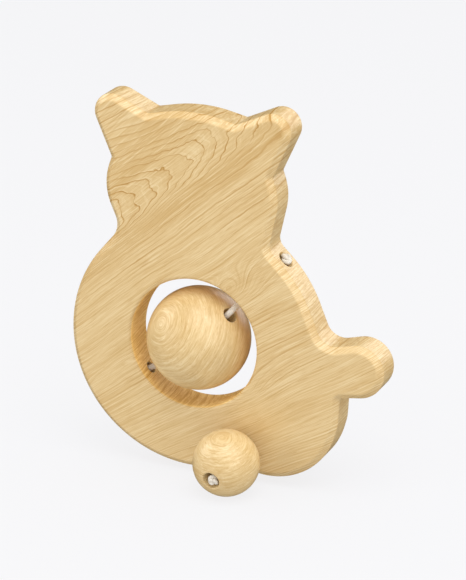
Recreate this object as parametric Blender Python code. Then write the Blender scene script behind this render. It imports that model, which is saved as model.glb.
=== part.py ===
"""Wooden baby rattle: a flat sitting bear with a large ball on a cord in its belly window and a small
ball on each side as its feet. All lengths below are millimetres; the objects are built in metres.

The bear's outline is laid out around the centre of the belly window, X to the bear's right-hand side
as seen from the front, Z towards the ears, and the plate's thickness along Y with the front at -Y."""

import math

import bmesh
import bpy
from mathutils import Vector

MM = 0.001

# Plate
PLATE_THICKNESS = 10.0
EDGE_ROUNDING = 1.7
EDGE_STEPS = 4
OUTLINE_SAGITTA = 0.025
SHORTEST_EDGE = 0.02

# Belly window
WINDOW_RADIUS = 16.0
WINDOW_ROUNDING = 1.0
WINDOW_STEPS = 3
WINDOW_SEGMENTS = 72

# Outline arcs: the belly, and the head, which is symmetric about its own upright axis
BELLY = (-0.25, -0.2, 31.45)
HEAD_AXIS_X = -1.4
CHEEK = (7.6, 37.1, 14.0)
EAR_FOOT = (20.9, 43.3, -0.6)
EAR_TIP = (20.1, 54.15, 4.5)
EAR_CROTCH = (11.0, 55.9, -0.9)
CROWN = (0.0, 23.3, 33.3)
NECK_RIGHT = (21.4, 26.8, -3.0)
NECK_LEFT = (-25.2, 26.8, -5.0)
ARM = (41.0, -1.1, 6.5)
ARM_TOP_HOLLOW = (35.0, 8.7, -4.5)
ARM_BOTTOM_NOTCH = (37.6, -9.0, -0.85)
LEG_SIDE = (26.2, -14.0, 10.3)
LEG_UNDERSIDE = (19.2, -13.9, 17.1)
LEG_HOLLOW_RADIUS = 3.0

# Cords and their bores
CORD_DIAMETER = 1.5
PLATE_BORE_RADIUS = 1.5
PLATE_SINK_RADIUS = 2.15
PLATE_SINK_DEPTH = 1.3
BORE_SEGMENTS = 20
SHOULDER_BORE_ANGLE = math.radians(46.8)
FLANK_BORE_ANGLE = math.radians(217.0)
RUNNING_GAP = 0.2
CORD_POINT_SPACING = 1.8

# Centre ball, turned slightly on its cord
CENTRE_BALL_RADIUS = 12.5
CENTRE_BALL_CENTRE = Vector((-0.35, -0.15, 0.0))
CENTRE_BALL_AXIS = Vector((0.73, -0.224, 0.645)).normalized()
CENTRE_BALL_BORE_RADIUS = 1.8
CENTRE_CORD_RISE_SHOULDER = 0.5
CENTRE_CORD_RISE_FLANK = -0.3
CENTRE_BALL_SEGMENTS = 48
CENTRE_BALL_RINGS = 22

# Foot balls, which droop on their cord so that their bores tip down and outwards
FOOT_BALL_RADIUS = 8.0
FOOT_BALL_X = 12.5
FOOT_BALL_Z = -24.9
FOOT_CORD_SLACK = 1.0
FOOT_BALL_GAP = RUNNING_GAP + FOOT_CORD_SLACK / 2
FOOT_BALL_AXIS = Vector((-0.112, -0.963, -0.246)).normalized()
FOOT_BALL_BORE_RADIUS = 1.2
FOOT_SINK_RADIUS = 2.1
FOOT_SINK_DEPTH = 2.4
FOOT_BALL_SEGMENTS = 36
FOOT_BALL_RINGS = 16
FOOT_BEND_DEPTH = 4.0

# Stopper knots, as swellings of the cord, half sunk in the countersunk mouths
KNOT_LENGTH = 2.3
KNOT_TAIL = 0.3
KNOT_STEPS = 8
OUTER_KNOT_RADIUS = 1.75
FOOT_KNOT_RADIUS = 1.5
FOOT_KNOT_SEAT = 6.0

MOUTH_ROUNDING = 0.2

HALF = PLATE_THICKNESS / 2
CORD_RADIUS = CORD_DIAMETER / 2
FOOT_BALL_Y = HALF + FOOT_BALL_GAP + FOOT_BALL_RADIUS

# The window's centre in the object's frame: the origin is at the middle of the footprint, on the floor
WINDOW_CENTRE = Vector((BELLY[2] / 2 - BELLY[0] / 2 - (ARM[0] + ARM[2]) / 2, 0.0,
                        FOOT_BALL_RADIUS - FOOT_BALL_Z))


def clear_scene():
    for old in list(bpy.data.objects):
        bpy.data.objects.remove(old, do_unlink=True)


def wood(name, colour, roughness):
    material = bpy.data.materials.new(name)
    material.use_nodes = True
    shader = material.node_tree.nodes["Principled BSDF"]
    shader.inputs["Base Color"].default_value = (*colour, 1.0)
    shader.inputs["Roughness"].default_value = roughness
    shader.inputs["Metallic"].default_value = 0.0
    return material


def add_object(name, data, material, location):
    obj = bpy.data.objects.new(name, data)
    bpy.context.scene.collection.objects.link(obj)
    obj.location = Vector(location) * MM
    if material:
        obj.data.materials.append(material)
    return obj


def mesh_from(bm, name, smooth_angle=30.0):
    bmesh.ops.recalc_face_normals(bm, faces=bm.faces)
    bmesh.ops.scale(bm, vec=(MM, MM, MM), verts=bm.verts)
    mesh = bpy.data.meshes.new(name)
    bm.to_mesh(mesh)
    bm.free()
    mesh.shade_smooth()
    mesh.set_sharp_from_angle(angle=math.radians(smooth_angle))
    return mesh


def polar(radius, angle):
    return Vector((radius * math.cos(angle), 0.0, radius * math.sin(angle)))


def outer_wall_point(angle):
    """Where a radial bore leaves the belly's round outer wall."""
    direction = polar(1.0, angle)
    belly_centre = Vector((BELLY[0], 0.0, BELLY[1]))
    offset = direction.dot(belly_centre)
    return direction * (offset + math.sqrt(offset ** 2 - belly_centre.length_squared + BELLY[2] ** 2))


# ---------------------------------------------------------------- bear plate

def resting_arc(first, second, radius):
    """The hollow arc of this radius that touches two discs from below, as a disc of negative radius."""
    a = Vector((first[0], first[1]))
    b = Vector((second[0], second[1]))
    reach_a = first[2] + radius
    reach_b = second[2] + radius
    span = (b - a).length
    along = (span ** 2 + reach_a ** 2 - reach_b ** 2) / (2 * span)
    direction = (b - a) / span
    down = Vector((direction.y, -direction.x))
    centre = a + direction * along + down * math.sqrt(reach_a ** 2 - along ** 2)
    return (centre.x, centre.y, -radius)


def bear_discs():
    """Discs in counter-clockwise order; the outline runs round them like a belt, and a disc of
    negative radius is a hollow that the belt runs round on its inner side."""
    head_right = [CHEEK, EAR_FOOT, EAR_TIP, EAR_CROTCH]
    head = [(HEAD_AXIS_X + x, z, r) for x, z, r in head_right]
    head.append((HEAD_AXIS_X, CROWN[1], CROWN[2]))
    head += [(HEAD_AXIS_X - x, z, r) for x, z, r in reversed(head_right)]
    leg_hollow = resting_arc(BELLY, LEG_UNDERSIDE, LEG_HOLLOW_RADIUS)
    return [ARM, ARM_TOP_HOLLOW, BELLY, NECK_RIGHT, *head, NECK_LEFT, BELLY,
            leg_hollow, LEG_UNDERSIDE, LEG_SIDE, ARM_BOTTOM_NOTCH]


def belt_outline(discs, sagitta):
    """Points and outward normals of the smooth belt round the discs, as (x, z, nx, nz)."""
    headings = []
    for (x1, z1, r1), (x2, z2, r2) in zip(discs, discs[1:] + discs[:1]):
        lean = (r2 - r1) / math.hypot(x2 - x1, z2 - z1)
        headings.append(math.atan2(z2 - z1, x2 - x1) - math.asin(max(-1.0, min(1.0, lean))))
    points = []
    for i, (x, z, r) in enumerate(discs):
        turn = (headings[i] - headings[i - 1]) % math.tau
        if r < 0:
            turn -= math.tau
        largest_step = 2 * math.acos(1 - min(sagitta / abs(r), 0.1))
        steps = max(1, math.ceil(abs(turn) / largest_step))
        for k in range(steps + 1):
            heading = headings[i - 1] + turn * k / steps
            nx, nz = math.sin(heading), -math.cos(heading)
            point = (x + r * nx, z + r * nz, nx, nz)
            if not points or math.dist(point[:2], points[-1][:2]) > SHORTEST_EDGE:
                points.append(point)
    return points


def edge_profile(half, rounding, steps):
    """(inset, y) pairs of a rounded edge, from the front face to the back face."""
    front = []
    for k in range(steps + 1):
        angle = math.pi / 2 * k / steps
        front.append((rounding * (1 - math.sin(angle)), -half + rounding * (1 - math.cos(angle))))
    return front + [(inset, -y) for inset, y in reversed(front)]


def ring_wall(bm, rings):
    """Quads between successive closed rings of points; returns the rings' vertices."""
    vertex_rings = [[bm.verts.new(point) for point in ring] for ring in rings]
    for low, high in zip(vertex_rings, vertex_rings[1:]):
        count = len(low)
        for i in range(count):
            j = (i + 1) % count
            bm.faces.new((low[i], low[j], high[j], high[i]))
    return vertex_rings


def loop_edges(bm, ring):
    return [bm.edges.get((a, b)) for a, b in zip(ring, ring[1:] + ring[:1])]


def bear_plate_mesh():
    bm = bmesh.new()
    outline = belt_outline(bear_discs(), OUTLINE_SAGITTA)
    outer_rings = [[(x - nx * inset, y, z - nz * inset) for x, z, nx, nz in outline]
                   for inset, y in edge_profile(HALF, EDGE_ROUNDING, EDGE_STEPS)]
    angles = [math.tau * k / WINDOW_SEGMENTS for k in range(WINDOW_SEGMENTS)]
    inner_rings = [[((WINDOW_RADIUS + inset) * math.cos(a), y, (WINDOW_RADIUS + inset) * math.sin(a))
                    for a in angles]
                   for inset, y in edge_profile(HALF, WINDOW_ROUNDING, WINDOW_STEPS)]
    outer = ring_wall(bm, outer_rings)
    inner = ring_wall(bm, inner_rings)
    for end in (0, -1):
        edges = loop_edges(bm, outer[end]) + loop_edges(bm, inner[end])
        bmesh.ops.triangle_fill(bm, edges=edges, use_beauty=True)
    return mesh_from(bm, "bear_body")


def drill(target, name, mouth, outwards, profile):
    """Cut the solid turned from the (radius, height) profile, its height running outwards from mouth."""
    bm = bmesh.new()
    angles = [math.tau * k / BORE_SEGMENTS for k in range(BORE_SEGMENTS)]
    rings = ring_wall(bm, [[(r * math.cos(a), r * math.sin(a), h) for a in angles] for r, h in profile])
    bm.faces.new(rings[0])
    bm.faces.new(rings[-1])
    cutter = add_object(name, mesh_from(bm, name), None, WINDOW_CENTRE + mouth)
    cutter.rotation_euler = Vector((0, 0, 1)).rotation_difference(outwards).to_euler()
    cutter.hide_render = True
    cutter.display_type = "WIRE"
    modifier = target.modifiers.new(name, "BOOLEAN")
    modifier.operation = "DIFFERENCE"
    modifier.solver = "EXACT"
    modifier.object = cutter


def build_bear(material):
    bear = add_object("bear_body", bear_plate_mesh(), material, WINDOW_CENTRE)
    overshoot = 2.0
    flare = (PLATE_SINK_RADIUS - PLATE_BORE_RADIUS) / PLATE_SINK_DEPTH
    for name, angle in (("shoulder_bore", SHOULDER_BORE_ANGLE), ("flank_bore", FLANK_BORE_ANGLE)):
        mouth = outer_wall_point(angle)
        countersunk = [
            (PLATE_BORE_RADIUS, WINDOW_RADIUS - overshoot - mouth.length),
            (PLATE_BORE_RADIUS, -PLATE_SINK_DEPTH),
            (PLATE_SINK_RADIUS + flare * overshoot, overshoot),
        ]
        drill(bear, name, mouth, polar(1.0, angle), countersunk)
    straight = [(PLATE_BORE_RADIUS, -HALF - overshoot), (PLATE_BORE_RADIUS, HALF + overshoot)]
    drill(bear, "foot_bore", foot_bore_centre(), Vector((0, -1, 0)), straight)


# ---------------------------------------------------------------- balls

def ball_mesh(name, radius, bore_radius, segments, rings, sink_radius=0.0):
    """A ball turned about Z with a bore along Z. The mouth at +Z may be countersunk."""
    top_radius = sink_radius or bore_radius + MOUTH_ROUNDING
    low_radius = bore_radius + MOUTH_ROUNDING
    start = math.asin(top_radius / radius)
    stop = math.pi - math.asin(low_radius / radius)
    profile = []
    for k in range(rings + 1):
        angle = start + (stop - start) * k / rings
        profile.append((radius * math.sin(angle), radius * math.cos(angle)))
    low_mouth = radius * math.cos(stop)
    high_mouth = radius * math.cos(start)
    sink_depth = FOOT_SINK_DEPTH if sink_radius else MOUTH_ROUNDING
    profile.append((bore_radius, low_mouth + MOUTH_ROUNDING))
    profile.append((bore_radius, high_mouth - sink_depth))
    bm = bmesh.new()
    angles = [math.tau * k / segments for k in range(segments)]
    rings_of_points = [[(r * math.cos(a), r * math.sin(a), z) for a in angles] for r, z in profile]
    ring_wall(bm, rings_of_points + rings_of_points[:1])
    bmesh.ops.remove_doubles(bm, verts=bm.verts, dist=0.001)
    return mesh_from(bm, name, smooth_angle=40.0)


def add_ball(name, mesh, material, centre, axis):
    ball = add_object(name, mesh, material, WINDOW_CENTRE + centre)
    ball.rotation_euler = Vector((0, 0, 1)).rotation_difference(axis).to_euler()


def mirrored(vector):
    """The same vector on the other side of the plate."""
    return Vector((vector.x, -vector.y, vector.z))


def foot_ball_centre():
    return Vector((FOOT_BALL_X, -FOOT_BALL_Y, FOOT_BALL_Z))


def foot_bore_centre():
    """Where the drooping ball's axis comes FOOT_BEND_DEPTH from the plate's middle."""
    centre = foot_ball_centre()
    run = (centre.y + FOOT_BEND_DEPTH) / FOOT_BALL_AXIS.y
    point = centre - FOOT_BALL_AXIS * run
    return Vector((point.x, 0.0, point.z))


def build_balls(material):
    centre_mesh = ball_mesh("centre_ball", CENTRE_BALL_RADIUS, CENTRE_BALL_BORE_RADIUS,
                            CENTRE_BALL_SEGMENTS, CENTRE_BALL_RINGS)
    add_ball("centre_ball", centre_mesh, material, CENTRE_BALL_CENTRE, CENTRE_BALL_AXIS)
    foot_mesh = ball_mesh("foot_ball", FOOT_BALL_RADIUS, FOOT_BALL_BORE_RADIUS,
                          FOOT_BALL_SEGMENTS, FOOT_BALL_RINGS, FOOT_SINK_RADIUS)
    add_ball("front_foot_ball", foot_mesh, material, foot_ball_centre(), FOOT_BALL_AXIS)
    add_ball("rear_foot_ball", foot_mesh.copy(), material, mirrored(foot_ball_centre()),
             mirrored(FOOT_BALL_AXIS))


# ---------------------------------------------------------------- cords

def smooth_route(keys, spacing):
    """Points about this far apart on a Catmull-Rom curve through the keys, ends included."""
    padded = [keys[0] * 2 - keys[1], *keys, keys[-1] * 2 - keys[-2]]
    points = [keys[0]]
    for p0, p1, p2, p3 in zip(padded, padded[1:], padded[2:], padded[3:]):
        steps = max(1, round((p2 - p1).length / spacing))
        for k in range(1, steps + 1):
            t = k / steps
            points.append(0.5 * (2 * p1 + (p2 - p0) * t + (2 * p0 - 5 * p1 + 4 * p2 - p3) * t ** 2
                                 + (3 * p1 - p0 - 3 * p2 + p3) * t ** 3))
    return points


def knot_points(seat, direction, knot_radius):
    """(point, radius) pairs of a stopper knot that swells from its seat along direction, and its tail."""
    pairs = []
    for k in range(KNOT_STEPS + 1):
        angle = math.pi * k / KNOT_STEPS
        along = (1 - math.cos(angle)) / 2
        pairs.append((seat + direction * KNOT_LENGTH * along,
                      CORD_RADIUS + (knot_radius - CORD_RADIUS) * math.sin(angle)))
    pairs.append((seat + direction * (KNOT_LENGTH + KNOT_TAIL), CORD_RADIUS))
    return pairs


def build_cord(name, keys, first_direction, last_direction, knot_radius, material):
    """One cord along keys, with a stopper knot beyond each end."""
    middle = [(point, CORD_RADIUS) for point in smooth_route(keys, CORD_POINT_SPACING)]
    first = list(reversed(knot_points(keys[0], first_direction, knot_radius)))
    last = knot_points(keys[-1], last_direction, knot_radius)
    pairs = first[:-1] + middle + last[1:]
    curve = bpy.data.curves.new(name, "CURVE")
    curve.dimensions = "3D"
    curve.bevel_depth = CORD_RADIUS * MM
    curve.bevel_resolution = 2
    curve.use_fill_caps = True
    spline = curve.splines.new("POLY")
    spline.points.add(len(pairs) - 1)
    for slot, (point, radius) in zip(spline.points, pairs):
        slot.co = (*(point * MM), 1.0)
        slot.radius = radius / CORD_RADIUS
    add_object(name, curve, material, WINDOW_CENTRE)


def build_centre_cord(material):
    rise = (Vector((0, 0, 1)) - CENTRE_BALL_AXIS * CENTRE_BALL_AXIS.z).normalized()
    rise_per_length = (CENTRE_CORD_RISE_SHOULDER - CENTRE_CORD_RISE_FLANK) / 2
    rise_middle = (CENTRE_CORD_RISE_SHOULDER + CENTRE_CORD_RISE_FLANK) / 2
    in_ball = [CENTRE_BALL_CENTRE + CENTRE_BALL_AXIS * CENTRE_BALL_RADIUS * share
               + rise * (rise_middle + rise_per_length * share)
               for share in (1.0, 0.6, -0.6, -1.0)]
    shoulder = polar(1.0, SHOULDER_BORE_ANGLE)
    flank = polar(1.0, FLANK_BORE_ANGLE)
    keys = [
        outer_wall_point(SHOULDER_BORE_ANGLE) - shoulder * KNOT_LENGTH / 2,
        shoulder * (WINDOW_RADIUS + 6.0),
        shoulder * (WINDOW_RADIUS + 1.0),
        *in_ball,
        flank * (WINDOW_RADIUS + 1.0),
        flank * (WINDOW_RADIUS + 6.0),
        outer_wall_point(FLANK_BORE_ANGLE) - flank * KNOT_LENGTH / 2,
    ]
    build_cord("centre_cord", keys, shoulder, flank, OUTER_KNOT_RADIUS, material)


def build_foot_cord(material):
    centre = foot_ball_centre()
    hole = foot_bore_centre()
    front = [
        centre + FOOT_BALL_AXIS * FOOT_KNOT_SEAT,
        centre,
        centre - FOOT_BALL_AXIS * (FOOT_BALL_RADIUS - 1.0),
        hole - Vector((0, HALF - 2.0, 0)),
    ]
    keys = front + [mirrored(point) for point in reversed(front)]
    build_cord("foot_cord", keys, FOOT_BALL_AXIS, mirrored(FOOT_BALL_AXIS), FOOT_KNOT_RADIUS, material)


def main():
    clear_scene()
    plate_wood = wood("bear_maple", (0.74, 0.53, 0.27), 0.42)
    ball_wood = wood("ball_maple", (0.76, 0.55, 0.29), 0.36)
    cord_cotton = wood("cord_cotton", (0.80, 0.77, 0.70), 0.85)
    build_bear(plate_wood)
    build_balls(ball_wood)
    build_centre_cord(cord_cotton)
    build_foot_cord(cord_cotton)


main()
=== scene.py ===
"""Looks of the wooden bear rattle: a maple plate sawn as a sitting bear, turned balls, braided cords."""

import math

import bmesh
import bpy
from mathutils import Matrix, Vector


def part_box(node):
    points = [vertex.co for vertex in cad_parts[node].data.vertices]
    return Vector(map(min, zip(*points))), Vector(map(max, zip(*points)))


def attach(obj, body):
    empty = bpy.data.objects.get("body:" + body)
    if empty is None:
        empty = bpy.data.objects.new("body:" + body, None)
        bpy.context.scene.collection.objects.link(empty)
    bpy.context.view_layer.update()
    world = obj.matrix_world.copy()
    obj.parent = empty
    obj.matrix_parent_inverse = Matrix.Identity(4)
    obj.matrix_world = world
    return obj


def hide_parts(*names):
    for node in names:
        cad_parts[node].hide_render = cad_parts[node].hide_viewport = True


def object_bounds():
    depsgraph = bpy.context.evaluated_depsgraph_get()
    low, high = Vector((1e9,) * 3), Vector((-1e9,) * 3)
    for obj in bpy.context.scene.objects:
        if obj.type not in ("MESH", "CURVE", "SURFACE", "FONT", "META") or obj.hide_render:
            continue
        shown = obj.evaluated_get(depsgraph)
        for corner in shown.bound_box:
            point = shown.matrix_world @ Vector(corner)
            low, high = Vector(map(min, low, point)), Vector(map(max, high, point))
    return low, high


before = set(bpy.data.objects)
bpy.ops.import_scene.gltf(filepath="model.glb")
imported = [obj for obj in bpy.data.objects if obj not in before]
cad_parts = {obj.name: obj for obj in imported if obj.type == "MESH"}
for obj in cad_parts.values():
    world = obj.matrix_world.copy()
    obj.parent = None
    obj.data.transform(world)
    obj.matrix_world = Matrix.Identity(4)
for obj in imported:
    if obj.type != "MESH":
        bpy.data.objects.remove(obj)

MM = 0.001
CAD_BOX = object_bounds()

# ---------------------------------------------------------------- sizes, in millimetres

# Bear plate, laid out round the centre of its belly window as in the CAD part
PLATE_THICKNESS = 10.0
EDGE_REACH = 1.7
EDGE_EASE = 0.8
EDGE_STEPS = 6
OUTLINE_SAGITTA = 0.004
SHORTEST_EDGE = 0.02
WINDOW_RADIUS = 16.0
WINDOW_REACH = 1.0
WINDOW_EASE = 1.0
WINDOW_SEGMENTS = 192

BELLY = (-0.25, -0.2, 31.45)
HEAD_AXIS_X = -1.4
CHEEK = (7.6, 37.1, 14.0)
EAR_FOOT = (20.9, 43.3, -0.6)
EAR_TIP = (20.1, 54.15, 4.5)
EAR_CROTCH = (11.0, 55.9, -0.9)
CROWN = (0.0, 23.3, 33.3)
NECK_RIGHT = (21.4, 26.8, -3.0)
NECK_LEFT = (-25.2, 26.8, -5.0)
ARM = (41.0, -1.1, 6.5)
ARM_TOP_HOLLOW = (35.0, 8.7, -4.5)
ARM_BOTTOM_NOTCH = (37.6, -9.0, -0.85)
LEG_SIDE = (26.2, -14.0, 10.3)
LEG_UNDERSIDE = (19.2, -13.9, 17.1)
LEG_HOLLOW_RADIUS = 3.0

# Bores through the plate: wide at the window, a narrow throat, and a mouth that clears the knot
CORD_DIAMETER = 1.5
SHOULDER_BORE_ANGLE = math.radians(46.8)
FLANK_BORE_ANGLE = math.radians(217.0)
BORE_RADIUS = 1.5
BORE_THROAT_RADIUS = 1.15
BORE_STEP = 0.5
MOUTH_RADIUS = 2.0
MOUTH_DEPTH = 1.5
MOUTH_FLARE = 0.2
MOUTH_FLARE_DEPTH = 0.15
MOUTH_FLARE_HEIGHT = 0.05
PAST_SURFACE = 2.0
BORE_SEGMENTS = 48

# Balls
BALL_SEGMENTS = 144
BALL_RINGS = 96
BALL_MOUTH_ROUNDING = 0.25
BALL_MOUTH_STEPS = 5
SAME_POINT = 0.001
BALL_SHARP_DEGREES = 50.0
CENTRE_BALL_CENTRE = Vector((-0.35, -0.15, 0.0))
CENTRE_BALL_AXIS = Vector((0.73, -0.224, 0.645)).normalized()
CENTRE_BALL_RADIUS = 12.5
CENTRE_BALL_BORE = 1.8
FOOT_BALL_RADIUS = 8.0
FOOT_BALL_CENTRE = Vector((12.5, -13.7, -24.9))
FOOT_BALL_AXIS = Vector((-0.112, -0.963, -0.246)).normalized()
FOOT_BALL_BORE = 1.2
FOOT_SINK_RADIUS = 2.1
FOOT_SINK_DEPTH = 2.4
FOOT_BEND_DEPTH = 4.0

# Cords: a braided sheath of flat strands over a core
STRANDS_EACH_WAY = 6
BRAID_PITCH = 6.5
STRAND_WIDTH = 0.36
STRAND_HEIGHT = 0.13
STRAND_WAVE = 0.05
STRAND_SIDES = 6
CORE_SHARE = 0.84
CORE_SIDES = 16
CORD_SHARP_DEGREES = 80.0
ROUTE_SPACING = 0.22

# Centre cord: how far past the window's wall it runs straight, and how it rises across its ball's axis
STRAIGHT_FROM = 0.2
STRAIGHT_TO = 6.0
RISE_IN_BALL = 0.1
RISE_PER_SHARE = 0.4

# Knots: a trefoil's ring and tube as shares of its size, then each kind's size and cord radius.
# The foot knots lean to one side of their mouths; seats are measured from the ball's centre
KNOT_RING_SHARE = 0.5
KNOT_TUBE_SHARE = 0.34
KNOT_POINTS = 30
OUTER_KNOT_SIZE = 1.3
OUTER_KNOT_CORD = 0.55
OUTER_KNOT_RISE = 0.15
FOOT_KNOT_SIZE = 1.2
FOOT_KNOT_CORD = 0.5
FOOT_KNOT_SEAT = 7.15
FOOT_KNOT_LEAN = Vector((0.32, 0.0, 0.0))
FOOT_CORD_SEAT = 5.0

HALF = PLATE_THICKNESS / 2
CORD_RADIUS = CORD_DIAMETER / 2
UP = Vector((0, 0, 1))

# The window's centre in the frame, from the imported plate: its right edge is the arm's tip
PLATE_LOW, PLATE_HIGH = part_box("bear_body")
WINDOW_CENTRE = Vector((
    PLATE_HIGH.x / MM - ARM[0] - ARM[2],
    (PLATE_HIGH.y + PLATE_LOW.y) / 2 / MM,
    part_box("centre_ball")[0].z / MM + CENTRE_BALL_RADIUS - CENTRE_BALL_CENTRE.z,
))


# ---------------------------------------------------------------- mesh helpers

def add_piece(name, data, centre=Vector()):
    piece = bpy.data.objects.new(name, data)
    piece.location = (WINDOW_CENTRE + centre) * MM
    bpy.context.scene.collection.objects.link(piece)
    return piece


def mesh_from(bm, name, sharp_degrees=35.0):
    bmesh.ops.recalc_face_normals(bm, faces=bm.faces)
    bmesh.ops.scale(bm, vec=(MM, MM, MM), verts=bm.verts)
    mesh = bpy.data.meshes.new(name)
    bm.to_mesh(mesh)
    bm.free()
    mesh.shade_smooth()
    mesh.set_sharp_from_angle(angle=math.radians(sharp_degrees))
    return mesh


def polar(radius, angle):
    return Vector((radius * math.cos(angle), 0.0, radius * math.sin(angle)))


def mirrored(vector):
    """The same vector on the other side of the plate."""
    return Vector((vector.x, -vector.y, vector.z))


def ring_wall(bm, rings):
    """Quads between successive closed rings of points; returns the rings' vertices."""
    made = [[bm.verts.new(point) for point in ring] for ring in rings]
    for low, high in zip(made, made[1:]):
        for i in range(len(low)):
            j = (i + 1) % len(low)
            bm.faces.new((low[i], low[j], high[j], high[i]))
    return made


def turned_rings(profile, segments):
    """Rings about Z from (radius, height) pairs."""
    angles = [math.tau * k / segments for k in range(segments)]
    return [[(r * math.cos(a), r * math.sin(a), h) for a in angles] for r, h in profile]


def quarter(steps):
    """(cosine, sine) pairs round a quarter circle."""
    return [(math.cos(math.pi / 2 * k / steps), math.sin(math.pi / 2 * k / steps))
            for k in range(steps + 1)]


# ---------------------------------------------------------------- bear plate

def outer_wall_point(angle):
    """Where a radial bore leaves the belly's round outer wall."""
    direction = polar(1.0, angle)
    belly_centre = Vector((BELLY[0], 0.0, BELLY[1]))
    offset = direction.dot(belly_centre)
    return direction * (offset + math.sqrt(offset ** 2 - belly_centre.length_squared + BELLY[2] ** 2))


def resting_arc(first, second, radius):
    """The hollow arc of this radius that touches two discs from below, as a disc of negative radius."""
    a = Vector((first[0], first[1]))
    b = Vector((second[0], second[1]))
    reach_a = first[2] + radius
    reach_b = second[2] + radius
    span = (b - a).length
    along = (span ** 2 + reach_a ** 2 - reach_b ** 2) / (2 * span)
    direction = (b - a) / span
    down = Vector((direction.y, -direction.x))
    centre = a + direction * along + down * math.sqrt(reach_a ** 2 - along ** 2)
    return (centre.x, centre.y, -radius)


def bear_discs():
    """Discs in counter-clockwise order; the outline runs round them like a belt, and a disc of
    negative radius is a hollow that the belt runs round on its inner side."""
    head_right = [CHEEK, EAR_FOOT, EAR_TIP, EAR_CROTCH]
    head = [(HEAD_AXIS_X + x, z, r) for x, z, r in head_right]
    head.append((HEAD_AXIS_X, CROWN[1], CROWN[2]))
    head += [(HEAD_AXIS_X - x, z, r) for x, z, r in reversed(head_right)]
    leg_hollow = resting_arc(BELLY, LEG_UNDERSIDE, LEG_HOLLOW_RADIUS)
    return [ARM, ARM_TOP_HOLLOW, BELLY, NECK_RIGHT, *head, NECK_LEFT, BELLY,
            leg_hollow, LEG_UNDERSIDE, LEG_SIDE, ARM_BOTTOM_NOTCH]


def belt_outline(discs, sagitta):
    """Points and outward normals of the smooth belt round the discs, as (x, z, nx, nz)."""
    headings = []
    for (x1, z1, r1), (x2, z2, r2) in zip(discs, discs[1:] + discs[:1]):
        lean = (r2 - r1) / math.hypot(x2 - x1, z2 - z1)
        headings.append(math.atan2(z2 - z1, x2 - x1) - math.asin(max(-1.0, min(1.0, lean))))
    points = []
    for i, (x, z, r) in enumerate(discs):
        turn = (headings[i] - headings[i - 1]) % math.tau
        if r < 0:
            turn -= math.tau
        largest_step = 2 * math.acos(1 - min(sagitta / abs(r), 0.1))
        steps = max(1, math.ceil(abs(turn) / largest_step))
        for k in range(steps + 1):
            heading = headings[i - 1] + turn * k / steps
            nx, nz = math.sin(heading), -math.cos(heading)
            point = (x + r * nx, z + r * nz, nx, nz)
            if not points or math.dist(point[:2], points[-1][:2]) > SHORTEST_EDGE:
                points.append(point)
    return points


def edge_profile(reach, ease):
    """(inset, y) pairs from the front face to the back face of a plate edge chamfered at 45 degrees,
    its corners eased to this radius; an ease equal to the reach makes it fully round."""
    turns = [math.pi / 4 * k / EDGE_STEPS for k in range(EDGE_STEPS + 1)]
    front = [(reach - ease * math.sin(a), -HALF + ease * (1 - math.cos(a))) for a in turns]
    front += [(ease * (1 - math.cos(a)), -HALF + reach - ease * math.sin(a)) for a in reversed(turns)]
    if ease == reach:
        front.pop(EDGE_STEPS)
    return front + [(inset, -y) for inset, y in reversed(front)]


def loop_edges(bm, ring):
    return [bm.edges.get((a, b)) for a, b in zip(ring, ring[1:] + ring[:1])]


def plate_mesh():
    bm = bmesh.new()
    outline = belt_outline(bear_discs(), OUTLINE_SAGITTA)
    outer = ring_wall(bm, [[(x - nx * inset, y, z - nz * inset) for x, z, nx, nz in outline]
                           for inset, y in edge_profile(EDGE_REACH, EDGE_EASE)])
    angles = [math.tau * k / WINDOW_SEGMENTS for k in range(WINDOW_SEGMENTS)]
    inner = ring_wall(bm, [[tuple(polar(WINDOW_RADIUS + inset, a) + Vector((0, y, 0))) for a in angles]
                           for inset, y in edge_profile(WINDOW_REACH, WINDOW_EASE)])
    for end in (0, -1):
        edges = loop_edges(bm, outer[end]) + loop_edges(bm, inner[end])
        bmesh.ops.triangle_fill(bm, edges=edges, use_beauty=True)
    return mesh_from(bm, "bear_plate")


def cut(target, profile, mouth, outwards):
    """Cut the solid turned from the (radius, height) profile, its height running outwards from mouth."""
    bm = bmesh.new()
    rings = ring_wall(bm, turned_rings(profile, BORE_SEGMENTS))
    bm.faces.new(rings[0])
    bm.faces.new(rings[-1])
    cutter = add_piece("cutter", mesh_from(bm, "cutter"), mouth)
    cutter.rotation_euler = UP.rotation_difference(outwards).to_euler()
    modifier = target.modifiers.new("bore", "BOOLEAN")
    modifier.operation = "DIFFERENCE"
    modifier.solver = "EXACT"
    modifier.object = cutter
    return cutter


def apply_modifiers(piece):
    """Replace the piece's mesh by what its modifiers make of it."""
    depsgraph = bpy.context.evaluated_depsgraph_get()
    mesh = bpy.data.meshes.new_from_object(piece.evaluated_get(depsgraph))
    mesh.name = piece.name
    piece.modifiers.clear()
    piece.data = mesh


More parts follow.
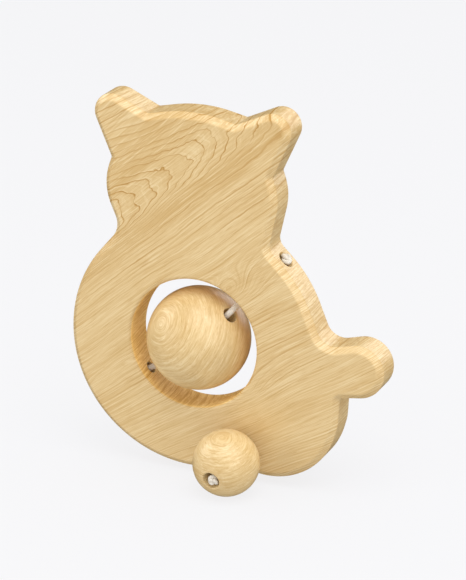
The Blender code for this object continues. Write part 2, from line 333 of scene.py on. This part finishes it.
def bear_plate():
    plate = add_piece("bear_plate", plate_mesh())
    cutters = []
    for angle in (SHOULDER_BORE_ANGLE, FLANK_BORE_ANGLE):
        mouth = outer_wall_point(angle)
        window = WINDOW_RADIUS - mouth.length
        profile = [
            (BORE_RADIUS, window - PAST_SURFACE),
            (BORE_RADIUS, window / 2 - BORE_STEP),
            (BORE_THROAT_RADIUS, window / 2),
            (BORE_THROAT_RADIUS, -MOUTH_DEPTH),
            (MOUTH_RADIUS, -MOUTH_FLARE_DEPTH),
            (MOUTH_RADIUS + MOUTH_FLARE, MOUTH_FLARE_HEIGHT),
            (MOUTH_RADIUS + MOUTH_FLARE, PAST_SURFACE),
        ]
        cutters.append(cut(plate, profile, mouth, polar(1.0, angle)))
    straight = [(BORE_RADIUS, -HALF - PAST_SURFACE), (BORE_RADIUS, HALF + PAST_SURFACE)]
    cutters.append(cut(plate, straight, foot_bore_centre(), Vector((0, -1, 0))))
    bpy.context.view_layer.update()
    apply_modifiers(plate)
    for cutter in cutters:
        bpy.data.objects.remove(cutter)
    plate.data.set_sharp_from_angle(angle=math.radians(35.0))
    weighted = plate.modifiers.new("face_weighted_normals", "WEIGHTED_NORMAL")
    weighted.keep_sharp = True
    return plate


# ---------------------------------------------------------------- balls

def ball_profile(radius, bore, sink_radius, sink_depth):
    """(radius, height) pairs down a ball's outside and back up its bore, with rounded mouths."""
    rounding = BALL_MOUTH_ROUNDING
    top = sink_radius or bore
    start = math.asin((top + rounding) / radius)
    stop = math.pi - math.asin((bore + rounding) / radius)
    outside = []
    for k in range(BALL_RINGS + 1):
        angle = start + (stop - start) * k / BALL_RINGS
        outside.append((radius * math.sin(angle), radius * math.cos(angle)))
    low = radius * math.cos(stop)
    high = radius * math.cos(start)
    turns = quarter(BALL_MOUTH_STEPS)
    low_mouth = [(bore + rounding * (1 - s), low + rounding * (1 - c)) for c, s in turns]
    high_mouth = [(top + rounding * (1 - s), high - rounding * (1 - c)) for c, s in turns]
    inside = []
    if sink_radius:
        inside.append((bore, high - sink_depth))
    return outside + low_mouth[1:] + inside + high_mouth[:0:-1]


def ball(name, radius, bore, centre, axis, sink_radius=0.0, sink_depth=0.0):
    bm = bmesh.new()
    rings = turned_rings(ball_profile(radius, bore, sink_radius, sink_depth), BALL_SEGMENTS)
    turn = UP.rotation_difference(axis).to_matrix()
    rings = [[tuple(turn @ Vector(point)) for point in ring] for ring in rings]
    ring_wall(bm, rings + rings[:1])
    bmesh.ops.remove_doubles(bm, verts=bm.verts, dist=SAME_POINT)
    return add_piece(name, mesh_from(bm, name, BALL_SHARP_DEGREES), centre)


def foot_bore_centre():
    """Where the drooping ball's axis comes FOOT_BEND_DEPTH from the plate's middle."""
    run = (FOOT_BALL_CENTRE.y + FOOT_BEND_DEPTH) / FOOT_BALL_AXIS.y
    point = FOOT_BALL_CENTRE - FOOT_BALL_AXIS * run
    return Vector((point.x, 0.0, point.z))


# ---------------------------------------------------------------- cords

def knot_keys(centre, outwards, side, size, thickness):
    """(point, cord radius) pairs of a small overhand knot drawn tight, from the cord to its tail.
    The knot is a trefoil wound on a ring about the outward direction, opened at one lobe."""
    across = outwards.cross(side).normalized()
    level = across.cross(outwards).normalized()
    ring = size * KNOT_RING_SHARE
    tube = size * KNOT_TUBE_SHARE
    keys = [
        (centre - outwards * size * 1.25, CORD_RADIUS),
        (centre - outwards * size * 0.8, thickness * 1.1),
    ]
    for k in range(2, KNOT_POINTS):
        angle = math.tau * k / KNOT_POINTS
        reach = ring + tube * math.cos(3 * angle + math.pi)
        keys.append((centre + level * reach * math.cos(2 * angle) + across * reach * math.sin(2 * angle)
                     + outwards * tube * math.sin(3 * angle + math.pi), thickness))
    keys.append((centre + level * size * 0.55 + outwards * size * 0.6, thickness))
    return keys


def frames_along(points):
    """(tangent, normal, binormal) at each point, turning as little as possible along the line."""
    tangents = []
    for i in range(len(points)):
        before = points[max(i - 1, 0)]
        after = points[min(i + 1, len(points) - 1)]
        tangents.append((after - before).normalized())
    normal = tangents[0].orthogonal().normalized()
    frames = []
    for tangent in tangents:
        normal = (normal - tangent * normal.dot(tangent)).normalized()
        frames.append((tangent, normal, tangent.cross(normal)))
    return frames


def sweep(bm, centres, sections):
    """A closed tube through rings given as offsets from each centre."""
    rings = ring_wall(bm, [[tuple(centre + offset) for offset in section]
                           for centre, section in zip(centres, sections)])
    bm.faces.new(rings[0])
    bm.faces.new(rings[-1])


def braided_cord(name, keys_and_radii):
    keys = [key for key, _ in keys_and_radii]
    points = []
    radii = []
    padded = [keys[0] * 2 - keys[1], *keys, keys[-1] * 2 - keys[-2]]
    for i, (p0, p1, p2, p3) in enumerate(zip(padded, padded[1:], padded[2:], padded[3:])):
        steps = max(1, round((p2 - p1).length / ROUTE_SPACING))
        for k in range(steps):
            t = k / steps
            points.append(0.5 * (2 * p1 + (p2 - p0) * t + (2 * p0 - 5 * p1 + 4 * p2 - p3) * t ** 2
                                 + (3 * p1 - p0 - 3 * p2 + p3) * t ** 3))
            radii.append(keys_and_radii[i][1] * (1 - t) + keys_and_radii[i + 1][1] * t)
    points.append(keys[-1])
    radii.append(keys_and_radii[-1][1])
    frames = frames_along(points)
    travelled = [0.0]
    for a, b in zip(points, points[1:]):
        travelled.append(travelled[-1] + (b - a).length)
    bm = bmesh.new()
    core = []
    for radius, (_, normal, binormal) in zip(radii, frames):
        core.append([(normal * math.cos(math.tau * k / CORE_SIDES)
                      + binormal * math.sin(math.tau * k / CORE_SIDES)) * radius * CORE_SHARE
                     for k in range(CORE_SIDES)])
    sweep(bm, points, core)
    for way in (1, -1):
        for strand in range(STRANDS_EACH_WAY):
            add_strand(bm, points, radii, frames, travelled, way, math.tau * strand / STRANDS_EACH_WAY)
    return add_piece(name, mesh_from(bm, name, CORD_SHARP_DEGREES))


def add_strand(bm, points, radii, frames, travelled, way, start):
    """One flat strand of the braid, passing over and under the strands that turn the other way."""
    centres = []
    sections = []
    for point, radius, (tangent, normal, binormal), s in zip(points, radii, frames, travelled):
        share = radius / CORD_RADIUS
        winding = math.tau * s / BRAID_PITCH
        angle = start + way * winding
        wave = way * STRAND_WAVE * math.cos(STRANDS_EACH_WAY * winding)
        out = normal * math.cos(angle) + binormal * math.sin(angle)
        around = tangent.cross(out)
        lean = math.tau * CORD_RADIUS / BRAID_PITCH * way
        run = (tangent + around * lean).normalized()
        flat = run.cross(out)
        centre_radius = radius - (STRAND_HEIGHT + STRAND_WAVE) * share + wave * share
        centres.append(point + out * centre_radius)
        sections.append([flat * math.cos(math.tau * k / STRAND_SIDES) * STRAND_WIDTH * share
                         + out * math.sin(math.tau * k / STRAND_SIDES) * STRAND_HEIGHT * share
                         for k in range(STRAND_SIDES)])
    sweep(bm, centres, sections)


def outer_knot(angle):
    """The knot that fills a radial bore's mouth in the plate's outer wall."""
    outwards = polar(1.0, angle)
    seat = outer_wall_point(angle) + outwards * OUTER_KNOT_RISE
    return knot_keys(seat, outwards, UP, OUTER_KNOT_SIZE, OUTER_KNOT_CORD)


def centre_cord():
    """The cord through the window's ball, from the shoulder knot to the flank knot."""
    rise = (UP - CENTRE_BALL_AXIS * CENTRE_BALL_AXIS.z).normalized()
    in_ball = [CENTRE_BALL_CENTRE + CENTRE_BALL_AXIS * CENTRE_BALL_RADIUS * share
               + rise * (RISE_IN_BALL + RISE_PER_SHARE * share)
               for share in (1.0, 0.6, -0.6, -1.0)]
    shoulder = polar(1.0, SHOULDER_BORE_ANGLE)
    flank = polar(1.0, FLANK_BORE_ANGLE)
    route = [
        shoulder * (WINDOW_RADIUS + STRAIGHT_TO),
        shoulder * (WINDOW_RADIUS + STRAIGHT_FROM),
        *in_ball,
        flank * (WINDOW_RADIUS + STRAIGHT_FROM),
        flank * (WINDOW_RADIUS + STRAIGHT_TO),
    ]
    first = outer_knot(SHOULDER_BORE_ANGLE)
    last = outer_knot(FLANK_BORE_ANGLE)
    middle = [(point, CORD_RADIUS) for point in route]
    return braided_cord("centre_braid", first[::-1] + middle + last)


def foot_cord():
    """The cord through the plate and both foot balls, knotted in the outer mouth of each."""
    hole = foot_bore_centre()
    front = [
        FOOT_BALL_CENTRE + FOOT_BALL_AXIS * FOOT_CORD_SEAT,
        FOOT_BALL_CENTRE,
        FOOT_BALL_CENTRE - FOOT_BALL_AXIS * (FOOT_BALL_RADIUS - 1.0),
        hole - Vector((0, HALF - 2.0, 0)),
    ]
    route = front + [mirrored(point) for point in reversed(front)]
    front_knot = FOOT_BALL_CENTRE + FOOT_BALL_AXIS * FOOT_KNOT_SEAT + FOOT_KNOT_LEAN
    first = knot_keys(front_knot, FOOT_BALL_AXIS, UP, FOOT_KNOT_SIZE, FOOT_KNOT_CORD)
    last = [(mirrored(point), radius) for point, radius in first]
    middle = [(point, CORD_RADIUS) for point in route]
    return braided_cord("foot_braid", first[::-1] + middle + last)


# ---------------------------------------------------------------- material graphs

class Value:
    """A number carried by a shader socket; arithmetic on it adds Math nodes to its graph."""

    def __init__(self, graph, socket):
        self.graph = graph
        self.socket = socket

    def math(self, operation, *others):
        return self.graph.math(operation, self, *others)

    def __add__(self, other):
        return self.math("ADD", other)

    def __radd__(self, other):
        return self.math("ADD", other)

    def __sub__(self, other):
        return self.math("SUBTRACT", other)

    def __rsub__(self, other):
        return self.graph.math("SUBTRACT", other, self)

    def __mul__(self, other):
        return self.math("MULTIPLY", other)

    def __rmul__(self, other):
        return self.math("MULTIPLY", other)

    def __truediv__(self, other):
        return self.math("DIVIDE", other)

    def __rtruediv__(self, other):
        return self.graph.math("DIVIDE", other, self)

    def root(self):
        return self.math("SQRT")


class Graph:
    """Short calls that build one material's nodes."""

    def __init__(self, name):
        self.material = bpy.data.materials.new(name)
        self.material.use_nodes = True
        self.tree = self.material.node_tree
        self.shader = self.tree.nodes["Principled BSDF"]

    def feed(self, socket, value):
        if isinstance(value, Value):
            value = value.socket
        if isinstance(value, bpy.types.NodeSocket):
            self.tree.links.new(value, socket)
        else:
            socket.default_value = value

    def node(self, kind, inputs, **settings):
        node = self.tree.nodes.new(kind)
        for key, value in settings.items():
            setattr(node, key, value)
        for socket, value in inputs.items():
            self.feed(node.inputs[socket], value)
        return node

    def set(self, **values):
        """Put plain numbers on the shader's own sockets, named with underscores for spaces."""
        for key, value in values.items():
            self.shader.inputs[key.replace("_", " ")].default_value = value

    def math(self, operation, *values):
        node = self.node("ShaderNodeMath", dict(enumerate(values)), operation=operation)
        return Value(self, node.outputs[0])

    def vector(self, operation, *values):
        node = self.node("ShaderNodeVectorMath", dict(enumerate(values)), operation=operation)
        if operation in ("DOT_PRODUCT", "LENGTH"):
            return Value(self, node.outputs["Value"])
        return node.outputs["Vector"]

    def combine(self, x, y, z):
        return self.node("ShaderNodeCombineXYZ", {0: x, 1: y, 2: z}).outputs[0]

    def separate(self, vector):
        node = self.node("ShaderNodeSeparateXYZ", {0: vector})
        return [Value(self, output) for output in node.outputs]

    def noise(self, vector, scale, detail=2.0, roughness=0.5):
        node = self.node("ShaderNodeTexNoise", {"Vector": vector, "Scale": scale, "Detail": detail,
                                                "Roughness": roughness})
        return Value(self, node.outputs["Fac"])

    def drift(self, vector, scale, detail, reach):
        """The vector moved by up to about half the reach in each direction, smoothly from place to place."""
        noise = self.node("ShaderNodeTexNoise", {"Vector": vector, "Scale": scale, "Detail": detail})
        centred = self.vector("SUBTRACT", noise.outputs["Color"], (0.5, 0.5, 0.5))
        return self.vector("ADD", vector, self.vector("MULTIPLY", centred, (reach, reach, reach)))

    def chance(self, number):
        """A number from 0 to 1 that is different for each whole number."""
        node = self.node("ShaderNodeTexWhiteNoise", {"W": number}, noise_dimensions="1D")
        return Value(self, node.outputs["Value"])

    def remap(self, value, low, high, to_low=0.0, to_high=1.0, smooth=False):
        node = self.node("ShaderNodeMapRange", {0: value, 1: low, 2: high, 3: to_low, 4: to_high})
        if smooth:
            node.interpolation_type = "SMOOTHSTEP"
        return Value(self, node.outputs[0])

    def mix(self, share, first, second):
        node = self.node("ShaderNodeMix", {"Factor": share, 6: first, 7: second}, data_type="RGBA")
        return node.outputs[2]

    def ramp(self, value, stops):
        node = self.node("ShaderNodeValToRGB", {0: value})
        elements = node.color_ramp.elements
        while len(elements) < len(stops):
            elements.new(0.5)
        for element, (position, shade) in zip(elements, stops):
            element.position = position
            element.color = shade
        return node.outputs[0]

    def graded(self, value, stops):
        """A number read off a smooth line through (value, number) stops, the numbers from 0 to 1."""
        low = stops[0][0]
        high = stops[-1][0]
        greys = [((at - low) / (high - low), (level, level, level, 1.0)) for at, level in stops]
        grey = self.ramp(self.remap(value, low, high), greys)
        grey.node.color_ramp.interpolation = "EASE"
        return self.vector("DOT_PRODUCT", grey, (1.0, 0.0, 0.0))

    def millimetres(self):
        place = self.node("ShaderNodeTexCoord", {}).outputs["Object"]
        return self.vector("MULTIPLY", place, (1 / MM, 1 / MM, 1 / MM))

    def bump(self, height, strength, depth):
        node = self.node("ShaderNodeBump", {"Strength": strength, "Distance": depth * MM, "Height": height})
        self.feed(self.shader.inputs["Normal"], node.outputs[0])


def colour(red, green, blue):
    """A linear colour from 0-255 sRGB numbers."""
    def linear(value):
        value /= 255
        return value / 12.92 if value <= 0.04045 else ((value + 0.055) / 1.055) ** 2.4
    return (linear(red), linear(green), linear(blue), 1.0)


# Maple shades, from the palest fibres to the growth lines
CREAM = colour(228, 205, 158)
PALE = colour(218, 190, 138)
BODY = colour(209, 177, 121)
GOLD = colour(198, 162, 100)
LINE = colour(180, 134, 60)


# Where a noise turns the wood another shade: (noise with no effect, noise with full effect, 0, most)
GOLD_FIBRES = (0.52, 0.66, 0.0, 0.6)
CREAM_FIBRES = (0.47, 0.34, 0.0, 0.7)
CREAM_STREAKS = (0.45, 0.33, 0.0, 0.7)
DARK_SPECKS = (0.6, 0.72, 0.0, 0.5)
WOOD_SHADES = [(0.0, CREAM), (0.3, PALE), (0.6, BODY), (1.0, GOLD)]

# Growth lines, in mm, and the relief of the grain
THINNEST_LINE = 0.16
LINE_SPREAD = 0.24
RELIEF_STRENGTH = 0.08
RELIEF_DEPTH = 0.02


def finish_wood(graph, grain, rings, steepness, boldness, line_strength, contrast, tone, roughness):
    """Shade, gloss and relief of oiled maple; returns the shade, to be fed to the shader.
    grain is a vector in mm squeezed along the fibres, rings a number that rises by one at each growth
    ring, steepness how many rings are crossed per mm, boldness the least share of line_strength that a
    ring's line has, contrast the strength of the fine streaks, and tone from 0, pale, to 1, golden."""
    _, length, depth = graph.separate(grain)
    broad = graph.noise(grain, 0.16, 2.0)
    streaks = graph.noise(graph.combine(rings, length / 2.0, depth), 3.4, 5.0, 0.8)
    fibres = graph.noise(grain, 3.0, 3.0, 0.7)
    specks = graph.noise(grain, 9.0, 1.0)
    phase = rings.math("FRACT")
    chance = graph.chance(rings.math("FLOOR"))
    before_line = (1.0 - phase) / steepness
    line_width = THINNEST_LINE + LINE_SPREAD * graph.chance(rings.math("FLOOR") + 40.5)
    line = graph.remap(before_line / line_width, 1.0, 0.25, smooth=True)
    line = line * graph.remap(chance, 0.1, 1.0, 0.1, 0.85).math("MAXIMUM", boldness) * line_strength
    late_wood = phase.math("POWER", 2.5) * graph.remap(chance, 0.0, 1.0, 0.1, 0.9)
    gold = tone * 0.45 + (broad - 0.5) * 0.9 + (streaks - 0.5) * contrast + late_wood * 0.3 + 0.2
    shade = graph.ramp(gold, WOOD_SHADES)
    shade = graph.mix(graph.remap(fibres, *GOLD_FIBRES), shade, GOLD)
    shade = graph.mix(graph.remap(fibres, *CREAM_FIBRES), shade, CREAM)
    shade = graph.mix(graph.remap(streaks, *CREAM_STREAKS), shade, CREAM)
    shade = graph.mix(graph.remap(specks, *DARK_SPECKS), shade, LINE)
    shade = graph.mix(line, shade, LINE)
    gloss = graph.remap(fibres, 0.3, 0.7, roughness - 0.05, roughness + 0.06) + line * 0.08
    graph.feed(graph.shader.inputs["Roughness"], gloss)
    graph.bump(streaks * 0.5 + fibres * 0.4 - line * 0.2, RELIEF_STRENGTH, RELIEF_DEPTH)
    graph.set(Specular_IOR_Level=0.5, Coat_Weight=0.3, Coat_Roughness=0.28)
    return shade


# Grain of the plate: the fibres fan out from a point far to the lower left
FAN_CENTRE = Vector((-220.6, 0.0, -153.5))
FAN_STRETCH = 45.0
DEPTH_STRETCH = 16.0

# The board's heart line crosses the head: nested arrowheads lie along it, the last with its point
# at HEART_TIP, and straight lines run beside it
HEART_TIP = Vector((6.0, 0.0, 54.0))
RINGS_PER_MM = 0.95
HEART_WIDTH = 5.5
ARROW_SPACING = 5.0

# Slow growth far below the heart line: from the first distance to the second, in mm, the rings added
# fall from the third number to the fourth
SLOW_GROWTH = (-84.0, -50.0, 22.0, 0.0)

# How golden the board is at distances across the grain from the heart line, in mm
BOARD_TONES = [(-60.0, 0.35), (-34.0, 0.5), (-20.0, 0.35), (-12.5, 0.25), (-9.0, 1.0), (-6.0, 0.8),
               (-3.0, 0.4), (0.0, 0.2), (2.5, 0.5), (4.8, 1.0), (9.0, 0.5), (13.0, 0.35), (25.0, 0.3)]

# What the window's wall multiplies the shade by, its end grain's warmer tone together with painted warm
# bounce light, and the roughness of the plate
WINDOW_END_GRAIN_AND_BOUNCE_TINT = (1.3, 1.22, 0.92, 1.0)
PLATE_ROUGHNESS = 0.38

# Smaller figures as (x, z, half length, half width, rings) in the plate, each a rise in the ring count
FIGURES = [
    (9.6, 15.0, 5.5, 3.0, -8.0),
    (-14.5, 1.0, 10.0, 2.4, 2.6),
    (-19.5, -8.5, 9.0, 2.2, 3.0),
    (15.0, -9.6, 5.0, 2.4, -4.6),
]


def plate_wood():
    graph = Graph("bear_maple")
    whole = graph.millimetres()
    place = graph.drift(whole, 0.03, 1.0, 4.0)
    reach = FAN_CENTRE.length
    x, y, z = graph.separate(graph.vector("SUBTRACT", place, tuple(FAN_CENTRE)))

    def fan(point):
        """A point's (distance round the fan, distance out from the fan's centre)."""
        offset = point - FAN_CENTRE
        return math.atan2(offset.z, offset.x) * reach, offset.length

    heart_across, tip_along = fan(HEART_TIP)
    across = z.math("ARCTAN2", x) * reach - heart_across
    along = (x * x + z * z).root() - tip_along
    grain = graph.combine(across, along / FAN_STRETCH, y / DEPTH_STRETCH)

    round_heart = (across * across + HEART_WIDTH ** 2).root()
    side = across / round_heart
    heart_share = HEART_WIDTH / round_heart
    spread = graph.remap(across, -10.0, -2.5, smooth=True)
    rings = round_heart * RINGS_PER_MM + along * spread / ARROW_SPACING + y * 0.03
    calm = 1.0
    for fx, fz, half_length, half_width, rise in FIGURES:
        figure_across, figure_along = fan(Vector((fx, 0.0, fz)))
        u = (along - (figure_along - tip_along)) / half_length
        v = (across - (figure_across - heart_across)) / half_width
        nearness = 1.0 / (u * u + v * v + 1.0)
        rings = rings + rise * nearness
        calm = calm * (1.0 - 0.8 * nearness * nearness)
    zigzag = graph.noise(graph.combine(across, along / 1.6, y / 5.0), 0.33, 2.0, 0.5) - 0.5
    rings = rings + zigzag * 1.7 * heart_share + graph.noise(grain, 0.16, 1.0) * 2.6
    rings = rings + graph.remap(across, *SLOW_GROWTH)
    steepness = (side * side * RINGS_PER_MM ** 2 + (1.0 / ARROW_SPACING) ** 2).root() * calm
    tone = graph.graded(across, BOARD_TONES)

    # Lines and streaks show more where the edges and walls cut across the board's layers
    _, layer, _ = graph.separate(whole)
    edge = graph.remap(layer.math("ABSOLUTE"), HALF - 0.02, HALF - 0.2)
    boldness = graph.remap(heart_share, 0.5, 0.8, 0.1, 1.0) + edge * 0.4
    clearness = graph.remap(graph.noise(place, 0.06, 1.0), 0.4, 0.58, 0.3, 1.0)
    clearness = clearness.math("MAXIMUM", boldness)
    contrast = 1.2 + edge * 2.0
    shade = finish_wood(graph, grain, rings, steepness, boldness, clearness, contrast, tone,
                        PLATE_ROUGHNESS)

    # The wall round the window is warmer, partly its end grain's own tone and partly painted warm light
    # bounced from the wood round it, and matt where the light grazes it
    from_centre = graph.vector("LENGTH", graph.vector("MULTIPLY", whole, (1.0, 0.0, 1.0)))
    in_window = graph.remap(from_centre, WINDOW_RADIUS + 0.25, WINDOW_RADIUS + 0.02, smooth=True)
    end_grain_and_bounce_tinted = graph.node("ShaderNodeMix", {"Factor": in_window, 6: shade, 7: WINDOW_END_GRAIN_AND_BOUNCE_TINT},
                      data_type="RGBA", blend_type="MULTIPLY").outputs[2]
    graph.feed(graph.shader.inputs["Base Color"], end_grain_and_bounce_tinted)
    graph.feed(graph.shader.inputs["Specular IOR Level"], (1.0 - in_window) * 0.45 + 0.05)
    graph.feed(graph.shader.inputs["Coat Weight"], (1.0 - in_window) * 0.3)
    return graph.material


# Balls: rings per mm from the pole, how far the fibres are squeezed across and into the ball, and a
# factor that keeps the arc cosine's argument inside its range
BALL_RINGS_PER_MM = 0.62
BALL_SWING = 0.9
BALL_DEPTH_SHARE = 0.2
CENTRE_BALL_POLE = Vector((-0.483, -0.736, 0.472)).normalized()
FOOT_BALL_POLE = Vector((-0.036, -0.347, 0.938)).normalized()
JUST_UNDER_ONE = 0.9999


def ball_wood(name, pole, radius, seed):
    """Turned maple: the growth rings show as circles round the pole where the grain meets the surface."""
    graph = Graph(name)
    place = graph.millimetres()
    bent = graph.drift(graph.vector("ADD", place, (seed, seed, seed)), 0.12, 2.0, 1.6)
    bent = graph.vector("SUBTRACT", bent, (seed, seed, seed))
    side = pole.orthogonal().normalized()
    third = pole.cross(side)
    unit = graph.vector("NORMALIZE", bent)
    up = graph.vector("DOT_PRODUCT", unit, tuple(pole))
    latitude = (up * JUST_UNDER_ONE).math("ARCCOSINE") * radius
    depth = radius - graph.vector("LENGTH", place)
    a = graph.vector("DOT_PRODUCT", unit, tuple(side))
    b = graph.vector("DOT_PRODUCT", unit, tuple(third))
    grain = graph.combine(latitude + seed, a * BALL_SWING, b * BALL_SWING + depth * BALL_DEPTH_SHARE)
    rings = latitude * BALL_RINGS_PER_MM + graph.noise(grain, 0.3, 1.0) * 2.6
    shade = finish_wood(graph, grain, rings, BALL_RINGS_PER_MM, boldness=0.0, line_strength=0.25,
                        contrast=1.8, tone=0.3, roughness=0.34)
    graph.feed(graph.shader.inputs["Base Color"], shade)
    return graph.material


def cotton():
    graph = Graph("braided_cotton")
    place = graph.millimetres()
    fuzz = graph.noise(place, 9.0, 3.0, 0.7)
    dirt = graph.noise(place, 0.9, 2.0)
    shade = graph.ramp(fuzz, [(0.3, colour(205, 196, 180)), (0.7, colour(232, 226, 214))])
    shade = graph.mix(graph.remap(dirt, 0.4, 0.75, 0.0, 0.4), shade, colour(200, 186, 164))
    graph.feed(graph.shader.inputs["Base Color"], shade)
    graph.set(Roughness=0.9, Sheen_Weight=0.3, Sheen_Roughness=0.5)
    graph.bump(fuzz, 0.5, 0.04)
    return graph.material


# ---------------------------------------------------------------- stage

VIEW_AZIMUTH = math.radians(21.63)
VIEW_ELEVATION = math.radians(19.81)
VIEW_ROLL = math.radians(0.91)
VIEW_DISTANCE = 0.7143
VIEW_FOCAL_LENGTH = 186.2
AIM_FROM_CENTRE = Vector((-0.00233, 0.00636, -0.00213))
STUDIO_WHITE = (0.913, 0.913, 0.930)
FLOOR_SHADE = 0.12
FLOOR_RADIUS = 6.0
LIGHT_DISTANCE = 0.8

# Lamps as (name, azimuth, elevation, size in m, watts, lights surfaces, shows as a reflection)
LAMPS = [
    ("key", 35.0, 66.0, 0.7, 3.95, True, False),
    ("side", 95.0, 5.0, 0.25, 1.0, True, False),
    ("fill", -45.0, 10.0, 0.6, 1.35, True, False),
    ("card_top", 0.0, 65.0, 0.6, 1.0, False, True),
    ("card_right", 56.0, 30.0, 0.9, 2.6, False, True),
    ("card_back", 163.0, 20.0, 0.7, 2.0, False, True),
    ("card_left", -84.0, 30.0, 0.5, 1.4, False, True),
]


def direction(azimuth, elevation):
    """From the object towards a camera or a light: azimuth 0 is in front, positive to the object's +X."""
    return Vector((math.sin(azimuth) * math.cos(elevation),
                   -math.cos(azimuth) * math.cos(elevation), math.sin(elevation)))


def add_camera(centre):
    data = bpy.data.cameras.new("camera")
    data.lens = VIEW_FOCAL_LENGTH
    data.sensor_width = 36.0
    data.clip_start = 0.05
    data.clip_end = 20.0
    camera = bpy.data.objects.new("camera", data)
    back = direction(VIEW_AZIMUTH, VIEW_ELEVATION)
    level = back.to_track_quat("Z", "Y").to_matrix().to_4x4()
    camera.matrix_world = (Matrix.Translation(centre + AIM_FROM_CENTRE + back * VIEW_DISTANCE)
                           @ level @ Matrix.Rotation(VIEW_ROLL, 4, "Z"))
    bpy.context.scene.collection.objects.link(camera)
    bpy.context.scene.camera = camera


def add_light(centre, name, azimuth, elevation, size, watts, diffuse, sheen):
    """A soft round lamp; without its diffuse light it shows just as a reflection, like a white card."""
    data = bpy.data.lights.new(name, "AREA")
    data.shape = "DISK"
    data.size = size
    data.energy = watts
    light = bpy.data.objects.new(name, data)
    away = direction(math.radians(azimuth), math.radians(elevation))
    light.location = centre + away * LIGHT_DISTANCE
    light.rotation_euler = away.to_track_quat("Z", "Y").to_euler()
    light.visible_camera = False
    light.visible_diffuse = diffuse
    light.visible_glossy = sheen
    bpy.context.scene.collection.objects.link(light)


def add_floor():
    """A white sheet that glows about as bright as the backdrop and still takes the rattle's soft shadow."""
    graph = Graph("pale_floor")
    graph.set(Base_Color=(0.8, 0.8, 0.8, 1.0), Roughness=1.0)
    glow = graph.node("ShaderNodeEmission", {"Color": (*STUDIO_WHITE, 1.0), "Strength": 1.0})
    blend = graph.node("ShaderNodeMixShader",
                       {0: FLOOR_SHADE, 1: glow.outputs[0], 2: graph.shader.outputs[0]})
    output = graph.tree.nodes["Material Output"]
    graph.tree.links.new(blend.outputs[0], output.inputs["Surface"])
    bm = bmesh.new()
    bmesh.ops.create_circle(bm, cap_ends=True, segments=96, radius=FLOOR_RADIUS)
    mesh = bpy.data.meshes.new("floor")
    bm.to_mesh(mesh)
    bm.free()
    floor = bpy.data.objects.new("floor", mesh)
    floor.data.materials.append(graph.material)
    floor.visible_glossy = False
    bpy.context.scene.collection.objects.link(floor)


def add_studio():
    low, high = CAD_BOX
    centre = (low + high) / 2
    scene = bpy.context.scene
    scene.view_settings.view_transform = "Standard"
    world = bpy.data.worlds.new("studio")
    scene.world = world
    world.use_nodes = True
    world.cycles_visibility.glossy = False
    background = world.node_tree.nodes["Background"]
    background.inputs["Color"].default_value = (*STUDIO_WHITE, 1.0)
    background.inputs["Strength"].default_value = 1.0
    for lamp in LAMPS:
        add_light(centre, *lamp)
    add_floor()
    add_camera(centre)


# ---------------------------------------------------------------- assembly

def dress(piece, material, body, node):
    piece.data.materials.clear()
    piece.data.materials.append(material)
    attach(piece, body)
    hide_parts(node)


def main():
    dress(bear_plate(), plate_wood(), "bear", "bear_body")
    centre = ball("centre_bead", CENTRE_BALL_RADIUS, CENTRE_BALL_BORE, CENTRE_BALL_CENTRE,
                  CENTRE_BALL_AXIS)
    dress(centre, ball_wood("centre_ball_maple", CENTRE_BALL_POLE, CENTRE_BALL_RADIUS, 3.0),
          "centre_ball", "centre_ball")
    for side, place, seed in (("front", lambda v: v, 11.0), ("rear", mirrored, 27.0)):
        foot = ball(f"{side}_foot_bead", FOOT_BALL_RADIUS, FOOT_BALL_BORE, place(FOOT_BALL_CENTRE),
                    place(FOOT_BALL_AXIS), FOOT_SINK_RADIUS, FOOT_SINK_DEPTH)
        dress(foot, ball_wood(f"{side}_foot_maple", place(FOOT_BALL_POLE), FOOT_BALL_RADIUS, seed),
              f"{side}_foot_ball", f"{side}_foot_ball")
    cord_look = cotton()
    dress(centre_cord(), cord_look, "centre_cord", "centre_cord")
    dress(foot_cord(), cord_look, "foot_cord", "foot_cord")


main()
add_studio()
